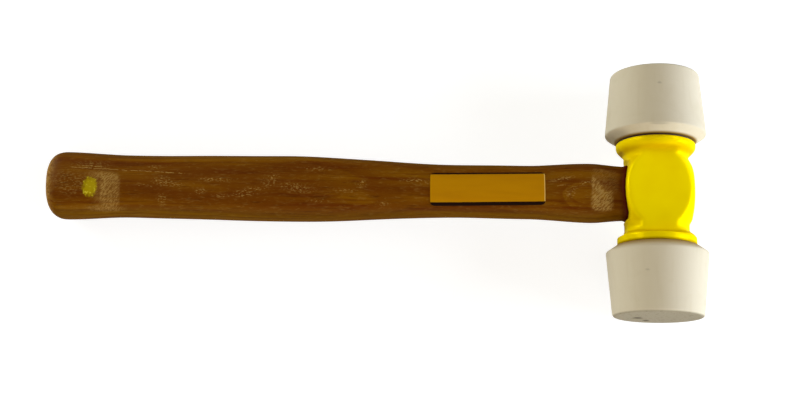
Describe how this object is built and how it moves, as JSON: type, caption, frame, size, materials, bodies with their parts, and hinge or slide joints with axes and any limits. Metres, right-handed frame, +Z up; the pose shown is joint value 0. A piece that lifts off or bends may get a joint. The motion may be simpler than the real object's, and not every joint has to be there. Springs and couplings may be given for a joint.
{
  "type": "double head mallet",
  "caption": "Double head mallet: oval hardwood handle wedged into a painted cast head, with tapered rubber tips that unscrew from both ends, for striking work without marking it.",
  "frame": {"origin": "on the ground under the middle of the bounding box of the mallet lying on its side", "axes": "+X along the handle from the butt to the head, +Y along the head axis to the upper tip, +Z up"},
  "size_m": [0.3412, 0.1254, 0.0508],
  "materials": {
    "yellow_enamel": "gloss enamel",
    "varnished_hickory": "brown varnish, worn",
    "wedge_wood": "bare",
    "wedge_steel": "satin",
    "stud_steel": "satin",
    "pale_rubber": "matte",
    "dark_fibre": "matte",
    "gold_label": "satin film with dark edge stripes"
  },
  "bodies": {
    "mallet": {"head_casting": "yellow_enamel", "handle": "varnished_hickory", "wood_wedge": "wedge_wood", "upper_steel_wedge": "wedge_steel", "lower_steel_wedge": "wedge_steel", "handle_label": "gold_label"},
    "upper_washer": {"upper_washer": "dark_fibre"},
    "upper_tip": {"upper_tip": "pale_rubber", "upper_tip_stud": "stud_steel"},
    "lower_washer": {"lower_washer": "dark_fibre"},
    "lower_tip": {"lower_tip": "pale_rubber", "lower_tip_stud": "stud_steel"}
  },
  "joints": [
    {"name": "upper_tip_travel", "type": "slide", "parent": "mallet", "child": "upper_washer", "axis": [0, 1, 0], "range_m": [0, 0.00977]},
    {"name": "upper_tip_turn", "type": "hinge", "parent": "upper_washer", "child": "upper_tip", "pos_m": [0.14525, 0, 0.0254], "axis": [0, 1, 0], "range_deg": [0, 1800]},
    {"name": "lower_tip_travel", "type": "slide", "parent": "mallet", "child": "lower_washer", "axis": [0, -1, 0], "range_m": [0, 0.00977]},
    {"name": "lower_tip_turn", "type": "hinge", "parent": "lower_washer", "child": "lower_tip", "pos_m": [0.14525, 0, 0.0254], "axis": [0, -1, 0], "range_deg": [0, 1800]}
  ],
  "couplings": [
    {"joint": "upper_tip_travel", "follows": "upper_tip_turn", "m_per_rad": 0.00031096},
    {"joint": "lower_tip_travel", "follows": "lower_tip_turn", "m_per_rad": 0.00031096}
  ]
}
